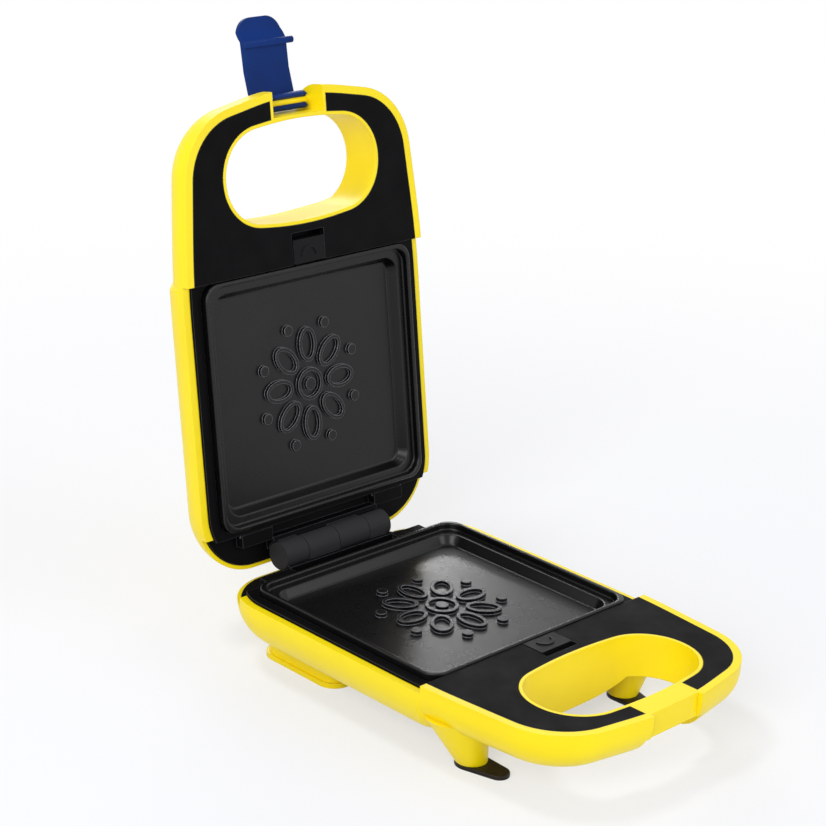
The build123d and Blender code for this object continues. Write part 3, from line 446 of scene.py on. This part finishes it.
    def relief(self, tree: bpy.types.NodeTree, place: bpy.types.NodeSocket) -> bpy.types.NodeSocket:
        """Fine relief over a normal that is rounded at the edges.

        Args:
            tree: node tree of the material.
            place: coordinates in metres.

        Returns:
            The normal's socket.
        """
        rounded = add_node(
            tree, "ShaderNodeBevel", {"samples": BEVEL_SAMPLES}, {"Radius": self.edge_mm / MM_PER_M}
        )
        height = self.height(tree, place)
        bump = add_node(
            tree,
            "ShaderNodeBump",
            inputs={
                "Strength": 1.0,
                "Distance": self.relief_mm / MM_PER_M,
                "Height": height,
                "Normal": rounded.outputs["Normal"],
            },
        )
        return bump.outputs["Normal"]

    def height(self, tree: bpy.types.NodeTree, place: bpy.types.NodeSocket) -> bpy.types.NodeSocket:
        """Height pattern of the way the surface was made.

        Args:
            tree: node tree of the material.
            place: coordinates in metres.

        Returns:
            The height's socket.
        """
        if self.pattern is Pattern.SPANGLED:
            cells = add_node(
                tree,
                "ShaderNodeTexVoronoi",
                {"feature": "F1"},
                {"Vector": place, "Scale": per_metre(self.grain_mm)},
            )
            return cells.outputs["Distance"]
        if self.pattern is Pattern.ROLLED:
            stretched = add_node(
                tree, "ShaderNodeMapping", inputs={"Vector": place, "Scale": DRAWN_SCALE}
            )
            place = stretched.outputs["Vector"]
        detail = MOULD_DETAIL if self.pattern is Pattern.SPARK_ERODED else SMOOTH_DETAIL
        grain = add_node(
            tree,
            "ShaderNodeTexNoise",
            inputs={"Vector": place, "Scale": per_metre(self.grain_mm), "Detail": detail},
        )
        return grain.outputs["Fac"]


# Moulded ABS: even, saturated yellow with a satin mould texture and a soft wide highlight.
# The texture is about 0.1 mm in truth and is drawn coarser so that it shows.
YELLOW_ABS = Finish(
    name="abs_moulded_yellow",
    slot=Slot.YELLOW_SHELL,
    body="#F9E10C",
    shade="#F5DA08",
    edge="#FFE63A",
    pattern=Pattern.SPARK_ERODED,
    gloss_level=0.28,
    roughness=0.38,
    roughness_spread=0.04,
    grain_mm=0.9,
    relief_mm=0.02,
    patch_mm=60.0,
    edge_mm=0.5,
    edge_share=0.5,
    ior=1.54,
)

# Glass-filled PBT: heat-proof black moulding, dry and matt, with pale edges and a paler hinge
# barrel that are painted highlights, and a fine grain that is drawn about five times coarser than
# real.
BLACK_PBT = Finish(
    name="pbt_moulded_black",
    slot=Slot.BLACK_MOULDING,
    body="#050506",
    shade="#08080A",
    edge="#59595D",
    pattern=Pattern.SPARK_ERODED,
    edge_share=0.85,
    gloss_level=0.06,
    # Paler hinge barrel: a painted highlight
    barrel_highlight="#2E2E2F",
    roughness=0.62,
    roughness_spread=0.07,
    grain_mm=0.8,
    relief_mm=0.05,
    patch_mm=35.0,
    edge_mm=0.4,
)

# PTFE coat sprayed on die-cast aluminium: near-black, semi-gloss, with a slight orange peel of
# its real width and bright edges that are a painted highlight.
PTFE_COAT = Finish(
    name="ptfe_coat_on_cast_aluminium",
    slot=Slot.NON_STICK,
    body="#050506",
    shade="#09090A",
    edge="#8C8D92",
    pattern=Pattern.SPRAYED,
    gloss_level=0.4,
    roughness=0.28,
    roughness_spread=0.02,
    grain_mm=0.8,
    relief_mm=0.012,
    patch_mm=30.0,
    edge_mm=0.6,
    edge_share=0.85,
    ior=1.4,
)

# Moulded polypropylene: deep blue, slightly waxy satin. The grain is drawn coarser than real.
BLUE_POLYPROPYLENE = Finish(
    name="polypropylene_moulded_blue",
    slot=Slot.BLUE_LATCH,
    body="#0A2C6C",
    shade="#09265F",
    edge="#1B4090",
    pattern=Pattern.SPARK_ERODED,
    gloss_level=0.07,
    roughness=0.36,
    roughness_spread=0.05,
    grain_mm=0.8,
    relief_mm=0.02,
    patch_mm=25.0,
    edge_mm=0.35,
)

# Moulded nylon: the release buttons, a little paler and smoother than the moulding round them.
# The grain is drawn coarser than real.
BLACK_NYLON = Finish(
    name="nylon_moulded_black",
    slot=Slot.BUTTON_PLASTIC,
    body="#0C0C0E",
    shade="#101012",
    edge="#2E2E33",
    pattern=Pattern.SPARK_ERODED,
    gloss_level=0.09,
    roughness=0.46,
    roughness_spread=0.05,
    grain_mm=0.7,
    relief_mm=0.03,
    patch_mm=12.0,
    edge_mm=0.3,
)

# Aluminised steel sheet: the reflector trays and straps, with dull grey spangles of 6 mm.
ALUMINISED_STEEL = Finish(
    name="aluminised_steel_sheet",
    slot=Slot.TRAY_STEEL,
    body="#A9ACAE",
    shade="#8F9295",
    edge="#C9CBCD",
    pattern=Pattern.SPANGLED,
    roughness=0.38,
    roughness_spread=0.08,
    grain_mm=6.0,
    relief_mm=0.01,
    patch_mm=12.0,
    edge_mm=0.2,
    metallic=1.0,
)

# Zinc-plated steel: bright screws, clips and cups with a faint blue cast. The grain of this and
# of the next three metals is drawn coarser than real.
ZINC_PLATE = Finish(
    name="zinc_plated_steel",
    slot=Slot.ZINC_STEEL,
    body="#BFC3C8",
    shade="#A6ABB2",
    edge="#DDE0E4",
    pattern=Pattern.ROLLED,
    roughness=0.28,
    roughness_spread=0.06,
    grain_mm=0.6,
    relief_mm=0.005,
    patch_mm=6.0,
    edge_mm=0.15,
    metallic=1.0,
)

# Music wire: drawn spring steel, mid grey and bright along the draw marks.
MUSIC_WIRE = Finish(
    name="drawn_spring_wire",
    slot=Slot.SPRING_STEEL,
    body="#9A9CA0",
    shade="#84868A",
    edge="#B9BBBF",
    pattern=Pattern.ROLLED,
    roughness=0.25,
    roughness_spread=0.05,
    grain_mm=0.4,
    relief_mm=0.003,
    patch_mm=4.0,
    edge_mm=0.1,
    metallic=1.0,
)

# Nickel-alloy heater sheath: turned brown and blue-grey by heat.
HEATER_SHEATH = Finish(
    name="heat_tinted_alloy_sheath",
    slot=Slot.HEATER_STEEL,
    body="#7C6F66",
    shade="#565B64",
    edge="#9C8F84",
    pattern=Pattern.ROLLED,
    roughness=0.45,
    roughness_spread=0.1,
    grain_mm=0.8,
    relief_mm=0.01,
    patch_mm=14.0,
    edge_mm=0.2,
    metallic=1.0,
)

# Ground steel: the hinge pin, bright with fine marks along its length.
GROUND_STEEL = Finish(
    name="ground_steel_pin",
    slot=Slot.PIN_STEEL,
    body="#B4B6B9",
    shade="#9FA1A5",
    edge="#D2D4D6",
    pattern=Pattern.ROLLED,
    roughness=0.22,
    roughness_spread=0.05,
    grain_mm=0.5,
    relief_mm=0.003,
    patch_mm=8.0,
    edge_mm=0.15,
    metallic=1.0,
)

# Steatite: pressed and fired terminal block, off-white and chalky, with a grain drawn coarser
# than real.
STEATITE = Finish(
    name="steatite_fired",
    slot=Slot.CERAMIC,
    body="#E6E1D4",
    shade="#D9D2C2",
    edge="#EFEBE1",
    pattern=Pattern.SPRAYED,
    roughness=0.55,
    roughness_spread=0.08,
    grain_mm=0.9,
    relief_mm=0.04,
    patch_mm=9.0,
    edge_mm=0.3,
    ior=1.6,
)

# Moulded rubber: the cord gland, matt black with a soft bloom and a grain drawn coarser than real.
NITRILE_RUBBER = Finish(
    name="nitrile_rubber_moulded",
    slot=Slot.BLACK_RUBBER,
    body="#1B1B1C",
    shade="#252526",
    edge="#303031",
    pattern=Pattern.SPARK_ERODED,
    roughness=0.7,
    roughness_spread=0.08,
    grain_mm=0.9,
    relief_mm=0.05,
    patch_mm=8.0,
    edge_mm=0.4,
)

# Thermoplastic elastomer: the foot pads, dark brown-black and matt with a slight sheen. The
# grain is drawn coarser than real.
BROWN_ELASTOMER = Finish(
    name="elastomer_moulded_brown",
    slot=Slot.BROWN_PAD,
    body="#140D09",
    shade="#1B130E",
    edge="#3A2C22",
    pattern=Pattern.SPARK_ERODED,
    gloss_level=0.25,
    roughness=0.45,
    roughness_spread=0.08,
    grain_mm=0.8,
    relief_mm=0.04,
    patch_mm=14.0,
    edge_mm=0.4,
)

# Tinted polycarbonate: the two indicator lenses, clear and glossy.
RED_POLYCARBONATE = Finish(
    name="polycarbonate_lens_red",
    slot=Slot.RED_LENS,
    body="#B3141A",
    shade="#A01015",
    edge="#D2353A",
    pattern=Pattern.SPRAYED,
    roughness=0.12,
    roughness_spread=0.03,
    grain_mm=2.0,
    relief_mm=0.005,
    patch_mm=4.0,
    edge_mm=0.3,
    ior=1.58,
    transmission=0.4,
)
GREEN_POLYCARBONATE = Finish(
    name="polycarbonate_lens_green",
    slot=Slot.GREEN_LENS,
    body="#178A36",
    shade="#117A2C",
    edge="#3BB45A",
    pattern=Pattern.SPRAYED,
    roughness=0.12,
    roughness_spread=0.03,
    grain_mm=2.0,
    relief_mm=0.005,
    patch_mm=4.0,
    edge_mm=0.3,
    ior=1.58,
    transmission=0.4,
)

FINISHES = (
    YELLOW_ABS,
    BLACK_PBT,
    PTFE_COAT,
    BLUE_POLYPROPYLENE,
    BLACK_NYLON,
    ALUMINISED_STEEL,
    ZINC_PLATE,
    MUSIC_WIRE,
    HEATER_SHEATH,
    GROUND_STEEL,
    STEATITE,
    NITRILE_RUBBER,
    BROWN_ELASTOMER,
    RED_POLYCARBONATE,
    GREEN_POLYCARBONATE,
)


# ---------------------------------------------------------------- Sub-assemblies


@dataclass
class Assembly:
    """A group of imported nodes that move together, and the finishes they wear."""

    name: str
    node_slots: dict[str, Slot]

    def dress(
        self, nodes: dict[str, bpy.types.Object], palette: dict[Slot, bpy.types.Material]
    ) -> None:
        """Put the finishes on the nodes' own material slots.

        Args:
            nodes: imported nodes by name.
            palette: materials by slot.
        """
        for node_name, slot in self.node_slots.items():
            piece = nodes[node_name]
            for material_slot in piece.material_slots:
                material_slot.material = palette[slot]
            LOG.info("%s: %s wears %s", self.name, node_name, palette[slot].name)


def assemblies(record: dict[str, Any]) -> list[Assembly]:
    """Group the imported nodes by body, with the slot that the record gives each.

    Args:
        record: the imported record.

    Returns:
        One assembly a body.
    """
    slot_of = {part["node"]: Slot(part["material_slot"]) for part in record["subparts"]}
    return [
        Assembly(name, {node: slot_of[node] for node in members})
        for name, members in record["behaviour"]["bodies"].items()
    ]


@dataclass
class ButtonSprings:
    """The two coil springs behind a release button, which close up as the button slides."""

    node: str
    body: str
    joint: str
    axis: tuple[float, float, float]

    def build(self, nodes: dict[str, bpy.types.Object]) -> None:
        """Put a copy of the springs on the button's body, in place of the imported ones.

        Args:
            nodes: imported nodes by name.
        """
        packed = nodes[self.node]
        coils = bpy.data.objects.new(self.node + "_coils", packed.data.copy())
        bpy.context.scene.collection.objects.link(coils)
        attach(coils, self.body)
        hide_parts(self.node)
        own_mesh(coils)


BUTTON_SPRINGS = (
    ButtonSprings("lower_release_springs", "base", "lower_button_slide", TOWARD_NOSE),
    ButtonSprings("upper_release_springs", "lid", "upper_button_slide", UP_THE_LID),
)


# ---------------------------------------------------------------- Studio


@dataclass
class Lamp:
    """A square white softbox aimed at a point, in metres and watts."""

    name: str
    place: tuple[float, float, float]
    aim: tuple[float, float, float]
    size: float
    watts: float

    def build(self) -> None:
        """Make the softbox and aim it."""
        data = bpy.data.lights.new(self.name, "AREA")
        data.shape = "SQUARE"
        data.size = self.size
        data.energy = self.watts
        lamp = bpy.data.objects.new(self.name, data)
        lamp.location = self.place
        toward = Vector(self.aim) - Vector(self.place)
        lamp.rotation_euler = toward.to_track_quat("-Z", "Y").to_euler()
        bpy.context.scene.collection.objects.link(lamp)


@dataclass
class Studio:
    """Pale floor, white surround, softboxes and the camera of the photograph.

    Lengths are in metres, but for the lens and the sensor, which are in millimetres. The floor is
    plain white by floor_glow up to shadow_reach from the origin, and wholly from white_reach on.
    """

    floor_half_width: float = 6.0
    floor_hex: str = "#DFE0E4"
    floor_roughness: float = 0.5
    floor_glow: float = 0.55
    shadow_reach: float = 0.15
    white_reach: float = 0.9
    surround_hex: str = "#F4F7FF"
    surround_strength: float = 0.45
    camera_place: tuple[float, float, float] = (-0.7087, -0.6695, 0.4916)
    camera_right: tuple[float, float, float] = (0.7127, -0.6997, 0.0505)
    camera_back: tuple[float, float, float] = (-0.6692, -0.6565, 0.3481)
    camera_lens: float = 100.1
    sensor_width: float = 36.0
    nearest_seen: float = 0.05
    farthest_seen: float = 50.0
    lamps: tuple[Lamp, ...] = (
        Lamp("key_softbox", (-1.5, -0.7, 0.9), (0.0, 0.0, 0.1), 1.0, 19.0),
        Lamp("fill_softbox", (0.6, -1.5, 0.7), (0.0, 0.0, 0.1), 1.0, 9.5),
        Lamp("rear_softbox", (0.7, 1.2, 1.0), (0.0, 0.0, 0.05), 0.7, 8.0),
        Lamp("rear_card", (0.76, 0.75, 0.39), (0.05, 0.05, 0.04), 0.08, 0.5),
        Lamp("top_softbox", (-0.5, 0.3, 1.5), (0.0, 0.0, 0.05), 0.3, 7.0),
    )

    def build(self) -> None:
        """Make the floor, the surround, the lamps and the camera."""
        self.floor()
        self.surround()
        for lamp in self.lamps:
            lamp.build()
            LOG.info("studio: %s", lamp.name)
        self.camera()
        bpy.context.scene.view_settings.view_transform = "Standard"

    def floor(self) -> None:
        """Make the plain pale floor, which keeps a soft shadow of the object."""
        reach = self.floor_half_width
        mesh = bpy.data.meshes.new("studio_floor")
        turns = ((-1, -1), (1, -1), (1, 1), (-1, 1))
        mesh.from_pydata([(reach * x, reach * y, 0.0) for x, y in turns], [], [(0, 1, 2, 3)])
        floor = bpy.data.objects.new("studio_floor", mesh)
        bpy.context.scene.collection.objects.link(floor)
        material = bpy.data.materials.new("matt_paper_backdrop")
        material.use_nodes = True
        tree = material.node_tree
        tree.nodes.clear()
        paper = add_node(
            tree,
            "ShaderNodeBsdfDiffuse",
            inputs={"Color": linear(self.floor_hex), "Roughness": self.floor_roughness},
        )
        white = add_node(
            tree, "ShaderNodeEmission", inputs={"Color": linear(WHITE), "Strength": 1.0}
        )
        mix = add_node(
            tree,
            "ShaderNodeMixShader",
            inputs={
                0: self.floor_share(tree),
                1: paper.outputs["BSDF"],
                2: white.outputs["Emission"],
            },
        )
        add_node(tree, "ShaderNodeOutputMaterial", inputs={"Surface": mix.outputs["Shader"]})
        mesh.materials.append(material)

    def floor_share(self, tree: bpy.types.NodeTree) -> bpy.types.NodeSocket:
        """Share of plain white in the floor: least round the object, so that its shadow stays.

        Args:
            tree: node tree of the floor's material.

        Returns:
            The share's socket.
        """
        place = add_node(tree, "ShaderNodeTexCoord").outputs["Object"]
        away = add_node(tree, "ShaderNodeVectorMath", {"operation": "LENGTH"}, {0: place})
        share = add_node(
            tree,
            "ShaderNodeMapRange",
            {"interpolation_type": "SMOOTHSTEP"},
            {
                "Value": away.outputs["Value"],
                "From Min": self.shadow_reach,
                "From Max": self.white_reach,
                "To Min": self.floor_glow,
                "To Max": 1.0,
            },
        )
        return self.seen_share(tree, share.outputs["Result"])

    def seen_share(
        self, tree: bpy.types.NodeTree, share: float | bpy.types.NodeSocket
    ) -> bpy.types.NodeSocket:
        """Share that counts only where the camera, a gloss or a clear piece looks.

        Args:
            tree: node tree that gets the nodes.
            share: value or socket where the surface is looked at.

        Returns:
            The share's socket, 0 for light that falls on the object.
        """
        path = add_node(tree, "ShaderNodeLightPath")
        looks = path.outputs["Is Camera Ray"]
        for ray in ("Is Glossy Ray", "Is Transmission Ray"):
            either = add_node(
                tree, "ShaderNodeMath", {"operation": "MAXIMUM"}, {0: looks, 1: path.outputs[ray]}
            )
            looks = either.outputs["Value"]
        scaled = add_node(tree, "ShaderNodeMath", {"operation": "MULTIPLY"}, {0: looks, 1: share})
        return scaled.outputs["Value"]

    def surround(self) -> None:
        """Make the even white surround: soft light for the object, plain white where it is seen."""
        world = bpy.data.worlds.new("studio_surround")
        world.use_nodes = True
        tree = world.node_tree
        tree.nodes.clear()
        soft = add_node(
            tree,
            "ShaderNodeBackground",
            inputs={"Color": linear(self.surround_hex), "Strength": self.surround_strength},
        )
        white = add_node(
            tree, "ShaderNodeBackground", inputs={"Color": linear(WHITE), "Strength": 1.0}
        )
        mix = add_node(
            tree,
            "ShaderNodeMixShader",
            inputs={
                0: self.seen_share(tree, 1.0),
                1: soft.outputs["Background"],
                2: white.outputs["Background"],
            },
        )
        add_node(tree, "ShaderNodeOutputWorld", inputs={"Surface": mix.outputs["Shader"]})
        bpy.context.scene.world = world

    def camera(self) -> None:
        """Make the camera at the photograph's view."""
        back = Vector(self.camera_back).normalized()
        right = Vector(self.camera_right)
        right = (right - back * right.dot(back)).normalized()
        up = back.cross(right)
        data = bpy.data.cameras.new("photo_view")
        data.lens = self.camera_lens
        data.sensor_width = self.sensor_width
        data.clip_start = self.nearest_seen
        data.clip_end = self.farthest_seen
        camera = bpy.data.objects.new("photo_view", data)
        turn = Matrix((right, up, back)).transposed().to_4x4()
        camera.matrix_world = Matrix.Translation(self.camera_place) @ turn
        bpy.context.scene.collection.objects.link(camera)
        bpy.context.scene.camera = camera


# ---------------------------------------------------------------- Build


def main() -> None:
    """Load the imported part, dress it and set up the studio."""
    for leftover in list(bpy.data.objects):
        bpy.data.objects.remove(leftover)
    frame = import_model()
    palette = {finish.slot: finish.build() for finish in FINISHES}
    for assembly in assemblies(frame["record"]):
        assembly.dress(frame["nodes"], palette)
    for springs in BUTTON_SPRINGS:
        springs.build(frame["nodes"])
    Studio().build()


if __name__ == "__main__":
    main()
